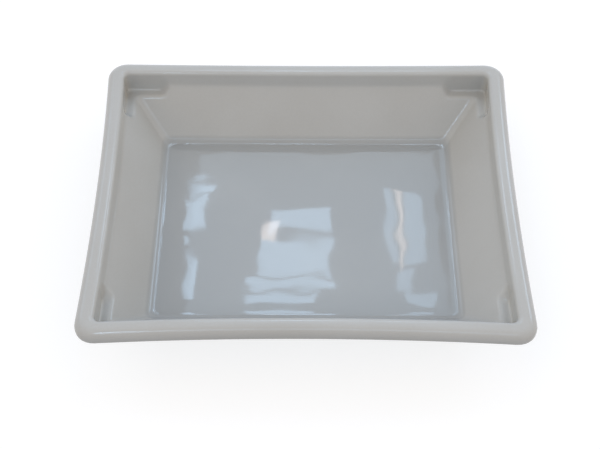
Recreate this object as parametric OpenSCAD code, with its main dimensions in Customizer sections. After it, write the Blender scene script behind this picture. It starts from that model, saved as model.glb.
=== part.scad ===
// Deep developing tray for photographic paper, a single thin-walled moulding. Millimetres.
// The origin is the centre of the flat underside. +X runs along the long side, +Y points
// from the front wall to the back wall and +Z points up, out of the tray.
// The moulding is divided along its own lines: floor, walls, corners, ledges and rim.

/* [Overall size] */
// Length over the outside of the rim
tray_length = 400; // [330:1:520]
// Width over the outside of the rim
tray_width = 328; // [260:1:440]
// Height from the underside to the top of the rim
tray_height = 64; // [52:1:90]
// Thickness of the moulded skin
wall = 3; // [2:0.1:4]

/* [Rolled rim] */
// Outer radius of the roll along the rim's outer edge
roll_radius = 9; // [7:0.5:11]
// Width of the flat band on top of the rim
rim_flat = 4; // [2:0.5:6]
// Inner radius of the skin where it bends down into the tray
bend_radius = 0.5; // [0.2:0.1:1.5]
// Height of the outer lip, from the rim's top to its lower edge
lip_height = 10.5; // [10:0.5:13]
// Radius of the rim's outer corners, seen from above
corner_radius = 20; // [19.5:0.5:26]

/* [Walls] */
// Depth below the rim's top at which the steep band under the rim ends
band_depth = 12; // [9:0.5:14]
// Lean of the steep band, in degrees from upright
band_lean = 12; // [5:1:18]
// Radius of the bend between the steep band and the sloping wall
band_round = 14; // [8:1:20]
// Distance from the rim's outer edge to the edge of the flat floor
floor_inset = 61; // [52:0.5:66]
// Radius of the bend between the sloping wall and the floor
floor_round = 9; // [6:0.5:11]
// Corner radius of the flat floor, seen from above
floor_corner_radius = 8; // [5:0.5:11]

/* [Stacking ledges] */
// Depth of the ledges below the rim's top
ledge_depth = 24.5; // [20:0.5:28]
// Distance from the rim's outer edge to the end of a ledge
ledge_reach = 55; // [50:1:64]
// Length over which the end of a ledge slopes up into the wall
ledge_draft = 5; // [3:0.5:8]
// Radius of the bend between the ledge and the wall behind it
ledge_round = 2; // [1:0.5:3]
// Outer radius of a ledge's nose, where it turns down into the sloping wall
ledge_nose = 6.5; // [4:0.5:8]

/* [Hidden] */

// Steps in each bend of the skin, and in each corner seen from above
bend_steps = 6;
corner_steps = 8;
$fn = 96;

half_length = tray_length / 2;
half_width = tray_width / 2;

// Sections are drawn as [inset from the rim's outer edge, height]. An angle names the way
// that the skin's inner face looks: 0 is level into the tray and 90 is straight up.
function facing(angle) = [cos(angle), sin(angle)];
function bend(centre, radius, from, to) =
    [for (i = [0 : bend_steps]) centre + radius * facing(from + (to - from) * i / bend_steps)];
function reversed(points) = [for (i = [len(points) - 1 : -1 : 0]) points[i]];
// As many points as a bend has, on a straight line: first is 0 to start on the line's start,
// and 1 to stop on its end
function stretch(start, end, first) =
    [for (i = [0 : bend_steps]) start + (end - start) * (i + first) / (bend_steps + 1)];

// The rim turns down into the tray on this bend
rim_bend = wall + bend_radius;
rim_bend_centre = [roll_radius + rim_flat, tray_height - rim_bend];
roll_centre = [roll_radius, tray_height - roll_radius];
// Inset of the rim's inner edge
rim_width = roll_radius + rim_flat + rim_bend;
rim_inner_radius = corner_radius - rim_width;

// The steep band leaves the rim, then turns on a bend into the sloping wall
band_top = rim_bend_centre + rim_bend * facing(band_lean);
band_run = (band_top[1] - tray_height + band_depth) / cos(band_lean);
band_bend_centre = band_top + band_run * [sin(band_lean), -cos(band_lean)]
                   + band_round * facing(band_lean);
floor_bend_centre = [floor_inset, wall + floor_round];

// The sloping wall is the straight line that runs into both bends
bend_span = floor_bend_centre - band_bend_centre;
wall_lean = atan2(bend_span[1], bend_span[0])
            + acos((floor_round - band_round) / norm(bend_span));
wall_offset = floor_bend_centre * facing(wall_lean) - floor_round;

// A ledge's nose is the bend from its level top to the sloping wall below it
ledge_height = tray_height - ledge_depth;
nose_centre_z = ledge_height - ledge_nose;
nose_centre = [(wall_offset - ledge_nose - nose_centre_z * sin(wall_lean)) / cos(wall_lean),
               nose_centre_z];
nose_end = nose_centre + ledge_nose * facing(wall_lean);
nose_underside = nose_end - wall * facing(wall_lean);
ledge_bend_centre = [rim_width + ledge_round, ledge_height + ledge_round];

// The walls start where the ledges end, and below them where the corners end
ledge_end = ledge_reach + ledge_draft + wall;
corner_reach = max(floor_inset + floor_corner_radius, ledge_end) + 5;

// Sections of the skin: inner face first, then the outer face back to the start
rim_section = concat(
    [[0, tray_height - lip_height]],
    bend(roll_centre, roll_radius, 180, 90),
    bend(rim_bend_centre, rim_bend, 90, band_lean),
    bend(rim_bend_centre, bend_radius, band_lean, 90),
    bend(roll_centre, roll_radius - wall, 90, 180),
    [[wall, tray_height - lip_height]]);

// The upper wall and the ledge have as many points as each other, so one can turn into the other
function wall_bend_end(radius, lean) = band_bend_centre + radius * facing(180 + lean);
upper_wall_inside = concat(
    stretch(band_top, wall_bend_end(band_round, band_lean), 0),
    bend(band_bend_centre, band_round, 180 + band_lean, 180 + wall_lean),
    stretch(wall_bend_end(band_round, wall_lean), nose_end, 1));
upper_wall_outside = concat(
    stretch(nose_underside, wall_bend_end(band_round + wall, wall_lean), 0),
    bend(band_bend_centre, band_round + wall, 180 + wall_lean, 180 + band_lean),
    stretch(wall_bend_end(band_round + wall, band_lean),
            band_top - wall * facing(band_lean), 1));
ledge_inside = concat(
    bend(rim_bend_centre, rim_bend, band_lean, 0),
    bend(ledge_bend_centre, ledge_round, 180, 270),
    bend(nose_centre, ledge_nose, 90, wall_lean));
ledge_outside = concat(
    bend(nose_centre, ledge_nose - wall, wall_lean, 90),
    bend(ledge_bend_centre, ledge_round + wall, 270, 180),
    bend(rim_bend_centre, bend_radius, 0, band_lean));

lower_wall_section = concat(
    [nose_end],
    bend(floor_bend_centre, floor_round, 180 + wall_lean, 270),
    bend(floor_bend_centre, floor_round + wall, 270, 180 + wall_lean),
    [nose_underside]);

// Corner radius of the skin at an inset: it follows the rim, then opens out to the floor's
function crease_radius(inset) =
    inset < rim_width ? corner_radius - inset
    : rim_inner_radius + (floor_corner_radius - rim_inner_radius)
      * (inset - rim_width) / (floor_inset - rim_width);

// The way round the back right corner of a point at an inset, as insets from the right and
// the back wall: it leaves the right wall at reach and comes out on the back wall at reach
function corner_path(inset, reach) =
    let (radius = crease_radius(inset), centre = inset + radius)
    concat([[inset, reach]],
           [for (i = [0 : corner_steps])
               let (turn = 90 * i / corner_steps)
               [centre - radius * cos(turn), centre - radius * sin(turn)]],
           [[reach, inset]]);

// A section set across the right wall or the back wall, at a distance from the corner
function across_right(section, reach) = [for (p = section) [p[0], reach, p[1]]];
function across_back(section, reach) = [for (p = section) [reach, p[0], p[1]]];
// A section repeated at each step of the way round the corner
function round_corner(section, reach) =
    let (paths = [for (p = section) corner_path(p[0], reach)])
    [for (step = [0 : len(paths[0]) - 1])
        [for (i = [0 : len(section) - 1]) [each paths[i][step], section[i][1]]]];

// Skins a row of rings of points, given as [inset from right, inset from back, height]. A ring
// has an inner face and then an outer face of as many points, so a strip closes each end.
module loft(rings) {
    count = len(rings[0]);
    last = len(rings) - 1;
    points = [for (ring = rings) for (p = ring) [half_length - p[0], half_width - p[1], p[2]]];
    sides = [for (ring = [0 : last - 1]) for (i = [0 : count - 1])
        let (a = ring * count + i, b = ring * count + (i + 1) % count)
        for (face = [[a, b, a + count], [b, b + count, a + count]]) face];
    strip = [for (i = [0 : count / 2 - 2])
        let (across = count - 1 - i)
        for (face = [[i, i + 1, across], [i + 1, across - 1, across]]) face];
    first_end = [for (face = strip) reversed(face)];
    last_end = [for (face = strip) [for (i = face) last * count + i]];
    polyhedron(points, concat(sides, first_end, last_end));
}

// Runs a section straight along the back wall, centred on x = 0
module along_back(section, length) {
    translate([length / 2, half_width, 0])
        rotate([90, 0, -90])
            linear_extrude(length)
                polygon(section);
}

// Runs a section straight along the right wall, centred on y = 0
module along_right(section, length) {
    translate([half_length, -length / 2, 0])
        rotate([90, 0, 180])
            linear_extrude(length)
                polygon(section);
}

// The flat floor: its edge follows the lower corners exactly
module floor_panel() {
    corner = [for (c = corner_path(floor_inset, corner_reach))
        [half_length - c[0], half_width - c[1]]];
    quarter = [for (i = [1 : len(corner) - 2]) corner[i]];
    outline = concat(
        quarter,
        reversed([for (p = quarter) [-p[0], p[1]]]),
        [for (p = quarter) [-p[0], -p[1]]],
        reversed([for (p = quarter) [p[0], -p[1]]]));
    color("gainsboro") linear_extrude(wall) polygon(outline);
}

// A wall between two corners: its upper part reaches to the ledges, its lower part to the
// corner creases
module back_wall_panel() {
    along_back(concat(upper_wall_inside, upper_wall_outside),
               tray_length - 2 * ledge_end);
    along_back(lower_wall_section, tray_length - 2 * corner_reach);
}

module right_wall_panel() {
    along_right(concat(upper_wall_inside, upper_wall_outside),
                tray_width - 2 * ledge_end);
    along_right(lower_wall_section, tray_width - 2 * corner_reach);
}

module back_wall() { color("silver") back_wall_panel(); }
module front_wall() { color("silver") mirror([0, 1, 0]) back_wall_panel(); }
module right_wall() { color("silver") right_wall_panel(); }
module left_wall() { color("silver") mirror([1, 0, 0]) right_wall_panel(); }

// The crease where two walls meet, below the ledge
module corner_crease() { loft(round_corner(lower_wall_section, corner_reach)); }

module back_right_corner() { color("lightgray") corner_crease(); }
module back_left_corner() { color("lightgray") mirror([1, 0, 0]) corner_crease(); }
module front_right_corner() { color("lightgray") mirror([0, 1, 0]) corner_crease(); }
module front_left_corner() {
    color("lightgray") mirror([1, 0, 0]) mirror([0, 1, 0]) corner_crease();
}

// An L-shaped ledge with an upright wall behind it. At both ends the skin turns from the wall
// into the ledge; its outer face turns first, which keeps the sloping end as thick as a wall.
module stacking_ledge() {
    wall_ring = concat(upper_wall_inside, upper_wall_outside);
    turned = ledge_reach + wall;
    turning = ledge_reach + ledge_draft;
    loft(concat(
        [across_right(wall_ring, ledge_end)],
        [concat(across_right(upper_wall_inside, turning), across_right(ledge_outside, turned))],
        round_corner(concat(ledge_inside, ledge_outside), ledge_reach),
        [concat(across_back(upper_wall_inside, turning), across_back(ledge_outside, turned))],
        [across_back(wall_ring, ledge_end)]));
}

module back_right_ledge() { color("whitesmoke") stacking_ledge(); }
module back_left_ledge() { color("whitesmoke") mirror([1, 0, 0]) stacking_ledge(); }
module front_right_ledge() { color("whitesmoke") mirror([0, 1, 0]) stacking_ledge(); }
module front_left_ledge() {
    color("whitesmoke") mirror([1, 0, 0]) mirror([0, 1, 0]) stacking_ledge();
}

// Straight rails of the rolled rim
module back_rim() { color("snow") along_back(rim_section, tray_length - 2 * corner_radius); }
module front_rim() { color("snow") mirror([0, 1, 0]) back_rim(); }
module right_rim() { color("snow") along_right(rim_section, tray_width - 2 * corner_radius); }
module left_rim() { color("snow") mirror([1, 0, 0]) right_rim(); }

// A quarter turn of the rim section about the corner's centre
module rim_corner() {
    translate([half_length - corner_radius, half_width - corner_radius, 0])
        rotate_extrude(angle = 90)
            polygon([for (point = rim_section) [corner_radius - point[0], point[1]]]);
}

module back_right_rim_corner() { color("snow") rim_corner(); }
module back_left_rim_corner() { color("snow") mirror([1, 0, 0]) rim_corner(); }
module front_right_rim_corner() { color("snow") mirror([0, 1, 0]) rim_corner(); }
module front_left_rim_corner() {
    color("snow") mirror([1, 0, 0]) mirror([0, 1, 0]) rim_corner();
}

floor_panel();
front_wall();
back_wall();
left_wall();
right_wall();
front_left_corner();
front_right_corner();
back_left_corner();
back_right_corner();
front_left_ledge();
front_right_ledge();
back_left_ledge();
back_right_ledge();
front_rim();
back_rim();
left_rim();
right_rim();
front_left_rim_corner();
front_right_rim_corner();
back_left_rim_corner();
back_right_rim_corner();
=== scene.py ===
"""Looks of a deep developing tray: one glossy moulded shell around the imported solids."""

import math

import bmesh
import bpy
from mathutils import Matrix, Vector, noise


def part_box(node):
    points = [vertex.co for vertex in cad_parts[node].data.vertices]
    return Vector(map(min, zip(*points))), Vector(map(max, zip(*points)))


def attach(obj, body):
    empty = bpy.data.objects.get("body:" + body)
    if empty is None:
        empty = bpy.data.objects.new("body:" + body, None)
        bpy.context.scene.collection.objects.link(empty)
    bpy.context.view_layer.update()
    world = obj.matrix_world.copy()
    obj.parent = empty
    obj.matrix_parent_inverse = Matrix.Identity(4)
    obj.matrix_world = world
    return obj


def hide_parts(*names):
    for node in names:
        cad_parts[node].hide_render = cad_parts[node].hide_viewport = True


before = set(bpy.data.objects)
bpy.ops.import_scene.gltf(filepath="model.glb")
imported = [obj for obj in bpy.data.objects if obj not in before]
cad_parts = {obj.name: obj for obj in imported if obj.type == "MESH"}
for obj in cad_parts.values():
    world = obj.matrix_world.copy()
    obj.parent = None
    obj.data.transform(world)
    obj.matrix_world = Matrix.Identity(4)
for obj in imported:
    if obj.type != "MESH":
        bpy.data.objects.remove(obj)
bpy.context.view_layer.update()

# ------------------------------------------------------------------ sizes, in metres
MM = 0.001

floor_low, floor_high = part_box("floor_panel")
rim_low, rim_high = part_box("back_right_rim_corner")

HALF_LENGTH = rim_high.x
HALF_WIDTH = rim_high.y
HEIGHT = rim_high.z
WALL = floor_high.z
FLOOR_INSET = HALF_LENGTH - floor_high.x
LIP_BOTTOM = rim_low.z
CORNER_RADIUS = rim_high.x - rim_low.x

ROLL_RADIUS = 9 * MM
RIM_FLAT = 3.5 * MM
RIM_BEND = WALL + 1.5 * MM
RIM_WIDTH = ROLL_RADIUS + RIM_FLAT + RIM_BEND
BAND_DEPTH = 12 * MM
BAND_LEAN = math.radians(12)
BAND_ROUND = 14 * MM
FLOOR_ROUND = 9 * MM
FLOOR_CORNER_RADIUS = 8 * MM
CREASE_RADIUS = 6 * MM

LEDGE_DEPTH = 24.5 * MM
LEDGE_REACH = 52 * MM
LEDGE_DRAFT = 11 * MM
LEDGE_ROUND = 2.5 * MM
LEDGE_NOSE = 6.5 * MM

# The middle of a side stands in from a straight line, and the rim's corners droop
SIDE_BOW = 4.6 * MM
END_BOW = 5.1 * MM
CORNER_DROOP = 3.0 * MM
FLOOR_WAVE = 0.25 * MM
WAVE_FADE = 18 * MM
LIP_EDGE_ROUND = 0.9 * MM


# ------------------------------------------------------------------ section of the skin
# A section point is (inset from the rim's outer edge, height). An angle names the way that
# the skin's inner face looks: 0 is level into the tray and 90 degrees is straight up.
def facing(angle):
    return Vector((math.cos(angle), math.sin(angle)))


def bend(centre, radius, start, end, steps):
    turn = end - start
    return [centre + radius * facing(start + turn * i / steps) for i in range(steps + 1)]


def resample(path, count):
    """count points, evenly spaced along a path, with both of its ends."""
    lengths = [(b - a).length for a, b in zip(path, path[1:])]
    total = sum(lengths)
    points = []
    for i in range(count):
        left = total * i / (count - 1)
        for (a, b), length in zip(zip(path, path[1:]), lengths):
            if left <= length or b is path[-1]:
                points.append(a.lerp(b, min(left / length, 1)))
                break
            left -= length
    return points


def wall_line():
    """The sloping wall's lean and the centre of the bend that joins it to the steep band."""
    band_top = RIM_CENTRE + RIM_BEND * facing(BAND_LEAN)
    run = (band_top.y - HEIGHT + BAND_DEPTH) / math.cos(BAND_LEAN)
    down = Vector((math.sin(BAND_LEAN), -math.cos(BAND_LEAN)))
    centre = band_top + run * down + BAND_ROUND * facing(BAND_LEAN)
    span = FLOOR_CENTRE - centre
    lean = math.atan2(span.y, span.x) + math.acos((FLOOR_ROUND - BAND_ROUND) / span.length)
    return lean, centre, band_top


RIM_CENTRE = Vector((ROLL_RADIUS + RIM_FLAT, HEIGHT - RIM_BEND))
ROLL_CENTRE = Vector((ROLL_RADIUS, HEIGHT - ROLL_RADIUS))
FLOOR_CENTRE = Vector((FLOOR_INSET, WALL + FLOOR_ROUND))
WALL_LEAN, BAND_CENTRE, BAND_TOP = wall_line()
HALF_TURN = math.pi


def ledge_path():
    """From the ledge's nose over the ledge and up the wall behind it to the rim."""
    ledge_height = HEIGHT - LEDGE_DEPTH
    offset = FLOOR_CENTRE.dot(facing(WALL_LEAN)) - FLOOR_ROUND
    nose_z = ledge_height - LEDGE_NOSE
    nose_u = (offset - LEDGE_NOSE - nose_z * math.sin(WALL_LEAN)) / math.cos(WALL_LEAN)
    nose = Vector((nose_u, nose_z))
    back = Vector((RIM_WIDTH + LEDGE_ROUND, ledge_height + LEDGE_ROUND))
    nose_bend = bend(nose, LEDGE_NOSE, WALL_LEAN, HALF_TURN / 2, 9)
    back_bend = bend(back, LEDGE_ROUND, 1.5 * HALF_TURN, HALF_TURN, 7)
    top_bend = bend(RIM_CENTRE, RIM_BEND, 0, BAND_LEAN, 3)
    shelf = resample([nose_bend[-1], back_bend[0]], 3)[1:-1]
    upright = resample([back_bend[-1], top_bend[0]], 5)[1:-1]
    return nose_bend + shelf + back_bend + upright + top_bend


def stations():
    """Pairs of section points, for a plain wall and for a ledge, from floor to lip."""
    floor_bend = bend(FLOOR_CENTRE, FLOOR_ROUND, 1.5 * HALF_TURN, HALF_TURN + WALL_LEAN, 9)
    over_ledge = ledge_path()
    slope = resample([floor_bend[-1], over_ledge[0]], 7)[1:-1]
    band_bend = bend(BAND_CENTRE, BAND_ROUND, HALF_TURN + WALL_LEAN, HALF_TURN + BAND_LEAN, 9)
    plain = resample([over_ledge[0]] + band_bend + [BAND_TOP], len(over_ledge))
    rim_bend = bend(RIM_CENTRE, RIM_BEND, BAND_LEAN, HALF_TURN / 2, 7)[1:]
    roll = bend(ROLL_CENTRE, ROLL_RADIUS, HALF_TURN / 2, HALF_TURN, 14)
    flat = resample([rim_bend[-1], roll[0]], 4)[1:-1]
    lip = resample([roll[-1], Vector((0, LIP_BOTTOM))], 3)[1:]
    shared = [(p, p) for p in floor_bend[1:] + slope]
    return shared + list(zip(plain, over_ledge)) + [(p, p) for p in rim_bend + flat + roll + lip]


# ------------------------------------------------------------------ plan of the skin
# Distances from the end of a side, where its lengthwise lines lie: close where a ledge ends
FREE_REACH = 110 * MM
LINE_PITCH = 5 * MM
LEDGE_MARGIN = 4 * MM
CORNER_STEPS = 8


def side_reaches(half_side):
    """Distances in from the rim's outer edge, from the corner bend to the side's middle."""
    ledge_start = LEDGE_REACH - LEDGE_MARGIN
    ledge_stop = LEDGE_REACH + LEDGE_DRAFT + LEDGE_MARGIN
    spans = [(CORNER_RADIUS, ledge_start, 9), (ledge_start, ledge_stop, 14),
             (ledge_stop, FREE_REACH, 8),
             (FREE_REACH, half_side, round((half_side - FREE_REACH) / LINE_PITCH))]
    reaches = [a + (b - a) * i / steps for a, b, steps in spans for i in range(steps)]
    return reaches + [half_side]


def crease_radius(inset):
    """The skin's corner radius at an inset: the rim's outside, then a crease."""
    if inset < RIM_WIDTH:
        return CORNER_RADIUS + (CREASE_RADIUS - CORNER_RADIUS) * inset / RIM_WIDTH
    share = (inset - RIM_WIDTH) / (FLOOR_INSET - RIM_WIDTH)
    return CREASE_RADIUS + (FLOOR_CORNER_RADIUS - CREASE_RADIUS) * min(share, 1)


def smooth(low, high, value):
    share = min(max((value - low) / (high - low), 0), 1)
    return share * share * (3 - 2 * share)


def place(turn, reach, station):
    """Insets from the end and from the side, and height, of a ring's point at a station."""
    plain, ledge = station
    rough_centre = plain.x + crease_radius(plain.x)
    side = squeezed(reach, rough_centre)
    in_ledge = 1 - smooth(LEDGE_REACH, LEDGE_REACH + LEDGE_DRAFT, side)
    inset, height = plain.lerp(ledge, in_ledge)
    radius = crease_radius(inset)
    centre = inset + radius
    if turn <= 0:
        return inset, squeezed(reach, centre), height
    if turn >= HALF_TURN / 2:
        return squeezed(reach, centre), inset, height
    return centre - radius * math.cos(turn), centre - radius * math.sin(turn), height


def squeezed(reach, centre):
    """A reach from the corner, drawn in so that the corner bend at centre has its room."""
    if reach >= FREE_REACH:
        return reach
    share = (reach - CORNER_RADIUS) / (FREE_REACH - CORNER_RADIUS)
    return centre + share * (FREE_REACH - centre)


def warped(point, rise):
    """The bow of the sides and the droop of the corners, grown from none at the floor."""
    x, y = point.x / HALF_LENGTH, point.y / HALF_WIDTH
    return Vector((point.x - END_BOW * rise * x * (widest(HALF_WIDTH) - y * y),
                   point.y - SIDE_BOW * rise * y * (widest(HALF_LENGTH) - x * x),
                   point.z - CORNER_DROOP * rise * x * x * y * y))


def widest(half_side):
    """Square of the share of a side at which the bow ends: just inside the corner bend."""
    return (1 - 0.85 * CORNER_RADIUS / half_side) ** 2


def rise_at(inset):
    return min(max((FLOOR_INSET - inset) / (FLOOR_INSET - RIM_WIDTH), 0), 1)


def floor_lines(half_side):
    """Turn, reach and coordinate of the floor's grid lines on one half, from the middle."""
    radius = crease_radius(FLOOR_INSET)
    centre = FLOOR_INSET + radius
    lines = [(0, r, half_side - squeezed(r, centre)) for r in reversed(side_reaches(half_side))]
    for i in range(1, CORNER_STEPS // 2 + 1):
        turn = i * HALF_TURN / 2 / CORNER_STEPS
        lines.append((turn, CORNER_RADIUS, half_side - centre + radius * math.sin(turn)))
    return lines


def mirrored(lines):
    """The same lines on both halves, as (turn, reach, coordinate)."""
    return [(t, r, -c) for t, r, c in reversed(lines[1:])] + lines


# ------------------------------------------------------------------ the moulded shell
def floor_grid(bm):
    """The floor as a grid, whose edge points know their turn and reach round the ring."""
    x_lines = mirrored(floor_lines(HALF_LENGTH))
    y_lines = mirrored(floor_lines(HALF_WIDTH))
    turn_layer = bm.verts.layers.float.new("turn")
    reach_layer = bm.verts.layers.float.new("reach")
    last_x, last_y = len(x_lines) - 1, len(y_lines) - 1
    bmesh.ops.create_grid(bm, x_segments=last_x, y_segments=last_y, size=1)
    radius = crease_radius(FLOOR_INSET)
    for v in bm.verts:
        column = round((v.co.x + 1) / 2 * last_x)
        row = round((v.co.y + 1) / 2 * last_y)
        (x_turn, x_reach, x), (y_turn, y_reach, y) = x_lines[column], y_lines[row]
        if column in (0, last_x):
            v[turn_layer], v[reach_layer] = y_turn, y_reach
            inset = (1 - math.cos(y_turn)) * radius
            x = math.copysign(HALF_LENGTH - FLOOR_INSET - inset, x)
        elif row in (0, last_y):
            v[turn_layer], v[reach_layer] = HALF_TURN / 2 - x_turn, x_reach
            inset = (1 - math.cos(x_turn)) * radius
            y = math.copysign(HALF_WIDTH - FLOOR_INSET - inset, y)
        v.co = x, y, WALL


def grow_ring(bm, ring, station):
    """Extrudes the open edge to the next station and returns the new open edge."""
    turn_layer = bm.verts.layers.float["turn"]
    reach_layer = bm.verts.layers.float["reach"]
    grown = bmesh.ops.extrude_edge_only(bm, edges=ring)["geom"]
    fresh = {g for g in grown if isinstance(g, bmesh.types.BMVert)}
    for v in fresh:
        end_inset, side_inset, height = place(v[turn_layer], v[reach_layer], station)
        v.co = (math.copysign(HALF_LENGTH - end_inset, v.co.x),
                math.copysign(HALF_WIDTH - side_inset, v.co.y), height)
    return [g for g in grown
            if isinstance(g, bmesh.types.BMEdge) and all(v in fresh for v in g.verts)]


def inset_of(point):
    return min(HALF_LENGTH - abs(point.x), HALF_WIDTH - abs(point.y))


def floor_wave(point):
    """Height that the moulding's shrinkage adds to the flat floor, fading at its edge."""
    spot = Vector((point.x * 17, point.y * 21, 3.1))
    wave = 0.5 + 0.5 * noise.noise(spot) + 0.25 * noise.noise(spot * 2.3)
    edge = smooth(FLOOR_INSET, FLOOR_INSET + WAVE_FADE, inset_of(point))
    return FLOOR_WAVE * min(max(wave, 0), 1) * edge


def moulded_shell():
    """The whole skin, grown ring by ring from the floor up the walls and over the rim."""
    bm = bmesh.new()
    floor_grid(bm)
    ring = [e for e in bm.edges if e.is_boundary]
    for station in stations():
        ring = grow_ring(bm, ring, station)
    for v in bm.verts:
        inset = inset_of(v.co)
        v.co.z += floor_wave(v.co)
        v.co = warped(v.co, rise_at(inset))
    bm.normal_update()
    bmesh.ops.recalc_face_normals(bm, faces=bm.faces)
    middle = min(bm.faces, key=lambda f: f.calc_center_median().length)
    if middle.normal.z < 0:
        bmesh.ops.reverse_faces(bm, faces=bm.faces)
    for face in bm.faces:
        face.smooth = True
    mesh = bpy.data.meshes.new("tray_shell")
    bm.to_mesh(mesh)
    bm.free()
    shell = bpy.data.objects.new("tray_shell", mesh)
    bpy.context.collection.objects.link(shell)
    skin = shell.modifiers.new("skin", "SOLIDIFY")
    skin.thickness = WALL
    skin.offset = -1
    skin.use_even_offset = True
    lip = shell.modifiers.new("lip", "BEVEL")
    lip.width = LIP_EDGE_ROUND
    lip.segments = 3
    lip.limit_method = "ANGLE"
    lip.angle_limit = math.radians(50)
    return shell


# ------------------------------------------------------------------ shader maths
class Wire:
    """A socket whose arithmetic adds Math nodes to its tree."""

    def __init__(self, tree, socket):
        self.tree = tree
        self.socket = socket

    def maths(self, operation, first, second):
        made = self.tree.nodes.new("ShaderNodeMath")
        made.operation = operation
        for value, socket in zip((first, second), made.inputs):
            connect(self.tree, value, socket)
        return Wire(self.tree, made.outputs[0])

    def __add__(self, other):
        return self.maths("ADD", self, other)

    __radd__ = __add__

    def __mul__(self, other):
        return self.maths("MULTIPLY", self, other)

    __rmul__ = __mul__

    def __sub__(self, other):
        return self.maths("SUBTRACT", self, other)

    def __rsub__(self, other):
        return self.maths("SUBTRACT", other, self)


def connect(tree, value, socket):
    if isinstance(value, Wire):
        tree.links.new(value.socket, socket)
    elif value is not None:
        socket.default_value = value


class Nodes:
    """Adds nodes to one tree, each by its type, its settings and its sockets' values."""

    def __init__(self, owner):
        owner.use_nodes = True
        self.tree = owner.node_tree
        self.tree.nodes.clear()

    def add(self, kind, settings=None, sockets=None, out=0):
        made = self.tree.nodes.new("ShaderNode" + kind)
        for name, value in (settings or {}).items():
            if name == "stops":
                set_stops(made.color_ramp.elements, value)
            else:
                setattr(made, name, value)
        for name, value in (sockets or {}).items():
            connect(self.tree, value, made.inputs[name])
        return Wire(self.tree, made.outputs[out]) if made.outputs else made

    def ramp(self, value, stops):
        return self.add("ValToRGB", {"stops": stops}, {"Fac": value}, out="Color")

    def mix(self, share, first, second, blend="MIX"):
        settings = {"data_type": "RGBA", "blend_type": blend}
        return self.add("Mix", settings, {0: share, 6: first, 7: second}, out=2)


def set_stops(elements, stops):
    """Gives a new ramp its stops, as (position, grey)."""
    while len(elements) < len(stops):
        elements.new(0.5)
    for element, (position, grey) in zip(elements, stops):
        element.position = position
        element.color = (grey, grey, grey, 1)


def paint(red, green, blue):
    """A colour given as it shows on a screen, from 0 to 255, as the shader's numbers."""
    def shade(value):
        value = value / 255
        return value / 12.92 if value <= 0.04045 else ((value + 0.055) / 1.055) ** 2.4
    return shade(red), shade(green), shade(blue), 1


# ------------------------------------------------------------------ materials
def tray_plastic():
    """Glossy off-white moulded plastic, a little uneven in tone, with a faint ripple and painted
    shade that greys the floor.
    """
    material = bpy.data.materials.new("tray_plastic")
    n = Nodes(material)
    here = n.add("TexCoord", out="Object")
    cloud = n.add("TexNoise", sockets={"Vector": here, "Scale": 9, "Detail": 3})
    grain = n.add("TexNoise", sockets={"Vector": here, "Scale": 420, "Detail": 2})
    tone = n.ramp(cloud * 0.8 + grain * 0.2, [(0.35, 0), (0.65, 1)])
    clean = n.mix(tone, paint(187, 185, 179), paint(193, 192, 187))
    height = n.add("SeparateXYZ", sockets={0: here}, out="Z")
    # Painted shade: low down, over the floor, the colour turns a darker grey standing in for the
    # floor's darker look; the same mask makes the floor glossier.
    floor_shade_and_gloss = n.ramp(height * 100 + cloud * 0.3, [(0.45, 1), (1.0, 0)])
    colour = n.mix(floor_shade_and_gloss, clean, paint(165, 166, 164))
    ripple = n.add("TexNoise", sockets={"Vector": here, "Scale": 30, "Detail": 1})
    haze = n.add("TexNoise", sockets={"Vector": here, "Scale": 60, "Detail": 4})
    surface = n.add("Bump", sockets={"Strength": 0.05, "Distance": 0.6 * MM, "Height": ripple})
    shader = n.add("BsdfPrincipled", sockets={
        "Base Color": colour,
        "Roughness": haze * 0.03 + (0.11 - floor_shade_and_gloss * 0.09),
        "Normal": surface,
    })
    n.add("OutputMaterial", sockets={"Surface": shader})
    return material


# ------------------------------------------------------------------ stage, light, camera
def seen_white(n):
    """1 where the eye looks, straight, in a mirror or through glass: it sees a white studio."""
    rays = ("Is Camera Ray", "Is Glossy Ray", "Is Transmission Ray")
    eye, mirror, glass = (n.add("LightPath", out=ray) for ray in rays)
    either = n.add("Math", {"operation": "MAXIMUM"}, {0: eye, 1: mirror})
    return n.add("Math", {"operation": "MAXIMUM"}, {0: either, 1: glass})


def studio_floor():
    """A plain white floor that keeps the tray's shadow."""
    bm = bmesh.new()
    bmesh.ops.create_grid(bm, x_segments=1, y_segments=1, size=6)
    mesh = bpy.data.meshes.new("studio_floor")
    bm.to_mesh(mesh)
    bm.free()
    floor = bpy.data.objects.new("studio_floor", mesh)
    bpy.context.collection.objects.link(floor)
    material = bpy.data.materials.new("studio_white")
    n = Nodes(material)
    lit = n.add("BsdfDiffuse", sockets={"Color": (0.32, 0.32, 0.32, 1)})
    glow = n.add("Emission", sockets={"Color": (1, 1, 1, 1), "Strength": seen_white(n) * 0.76})
    both = n.add("AddShader", sockets={0: lit, 1: glow})
    n.add("OutputMaterial", sockets={"Surface": both})
    floor.data.materials.append(material)


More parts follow.
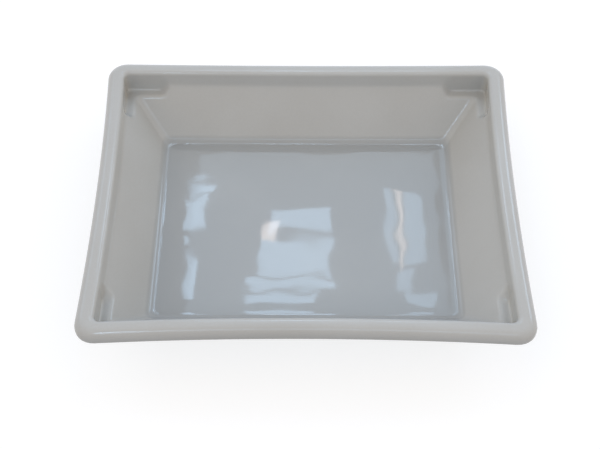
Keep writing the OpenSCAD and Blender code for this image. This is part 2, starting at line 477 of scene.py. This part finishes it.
def studio_world():
    """Soft light: warm from both sides, cool from the back and a little from the front."""
    world = bpy.data.worlds.new("studio_world")
    bpy.context.scene.world = world
    n = Nodes(world)
    way = n.add("TexCoord", out="Generated")
    side, back, height = (n.add("SeparateXYZ", sockets={0: way}, out=axis) for axis in "XYZ")
    right = n.mix(side, (0, 0, 0, 1), (0.62, 0.50, 0.36, 1), "ADD")
    left = n.mix(side * -1, right, (0.20, 0.17, 0.12, 1), "ADD")
    left_high = n.mix(side * height * -2, left, (0.48, 0.39, 0.30, 1), "ADD")
    cool = n.mix(back, left_high, (0.27, 0.42, 0.66, 1), "ADD")
    front = n.mix(back * -1, cool, (0.02, 0.05, 0.10, 1), "ADD")
    room = n.mix(back * height * -2, front, (0.26, 0.28, 0.33, 1), "ADD")
    soft = n.add("Background", sockets={"Color": room, "Strength": 1.8})
    white = n.add("Background", sockets={"Color": (1, 1, 1, 1), "Strength": 1.0})
    both = n.add("MixShader", sockets={0: seen_white(n), 1: soft, 2: white})
    n.add("OutputWorld", sockets={"Surface": both})


# Panes of light overhead, which the wet-look floor mirrors: name, middle, size, colour, level
SKY_LIGHT = (0.55, 0.77, 1.0)
PANE_LIGHT = (0.51, 0.75, 1.0)
SUN_LIGHT = (1.0, 0.87, 0.80)
PANE_HEIGHT = 1.5
PANES = [
    ("sky", (0.045, 1.10), (0.66, 0.64), SKY_LIGHT, 1.35),
    ("middle_1", (-0.01, 1.143), (0.15, 0.09), PANE_LIGHT, 5.0),
    ("middle_2", (-0.02, 1.028), (0.175, 0.10), PANE_LIGHT, 5.2),
    ("middle_3", (-0.03, 0.946), (0.21, 0.042), PANE_LIGHT, 5.2),
    ("middle_4", (-0.06, 0.878), (0.165, 0.072), PANE_LIGHT, 5.2),
    ("middle_sun", (-0.082, 1.097), (0.045, 0.045), SUN_LIGHT, 6.9),
    ("right_1", (0.222, 1.125), (0.02, 0.225), PANE_LIGHT, 3.2),
    ("right_sun", (0.242, 1.115), (0.008, 0.24), SUN_LIGHT, 7.0),
    ("right_2", (0.275, 1.117), (0.05, 0.225), PANE_LIGHT, 3.2),
    ("right_3", (0.255, 0.955), (0.05, 0.06), PANE_LIGHT, 3.2),
    ("right_4", (0.285, 0.885), (0.06, 0.07), PANE_LIGHT, 3.2),
    ("left_1", (-0.265, 1.234), (0.06, 0.05), PANE_LIGHT, 6.0),
    ("left_2", (-0.28, 1.156), (0.055, 0.09), PANE_LIGHT, 6.0),
    ("left_3", (-0.295, 1.06), (0.015, 0.04), PANE_LIGHT, 6.0),
    ("left_4", (-0.282, 0.956), (0.025, 0.14), PANE_LIGHT, 6.0),
]


# Boxes of light that draw the highlights along the rolls and the ledges' noses
BOXES = [
    ("front_wide", (0.0, -1.35, 1.8), (1.7, 0.45), PANE_LIGHT, 1.8),
    ("front_left", (-0.5, -1.2, 1.62), (0.16, 0.4), PANE_LIGHT, 8.0),
    ("left_box", (-1.2, 0.95, 1.0), (0.7, 0.5), PANE_LIGHT, 1.0),
    ("right_box", (1.2, 0.95, 1.0), (0.7, 0.5), PANE_LIGHT, 3.2),
]


def panel_light(name, place_at, size, colour, level):
    """A rectangle of light that looks at the tray, of one brightness all over."""
    light = bpy.data.lights.new(name, "AREA")
    light.shape = "RECTANGLE"
    light.size, light.size_y = size
    light.energy = math.pi * size[0] * size[1] * level
    light.color = colour
    lamp = bpy.data.objects.new(name, light)
    lamp.location = place_at
    bpy.context.collection.objects.link(lamp)
    return lamp


def studio_lights():
    for rank, (name, middle, *rest) in enumerate(PANES):
        panel_light(name, (*middle, PANE_HEIGHT - rank * MM), *rest)
    for name, place_at, *rest in BOXES:
        lamp = panel_light(name, place_at, *rest)
        lamp.rotation_euler = (-Vector(place_at)).to_track_quat("-Z", "Y").to_euler()


def studio_camera():
    """Looks down into the tray from in front, on its middle line."""
    data = bpy.data.cameras.new("camera")
    data.sensor_width = 36
    data.lens = 71.28
    camera = bpy.data.objects.new("camera", data)
    camera.location = (-0.0026, -0.6941, 0.9244)
    camera.rotation_euler = (math.radians(90 - 52.985), 0, math.radians(0.24))
    bpy.context.collection.objects.link(camera)
    bpy.context.scene.camera = camera


# ------------------------------------------------------------------ build
shell = moulded_shell()
shell.data.materials.append(tray_plastic())
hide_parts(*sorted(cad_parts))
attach(shell, "root")

studio_floor()
studio_world()
studio_lights()
studio_camera()
bpy.context.scene.view_settings.view_transform = "Standard"
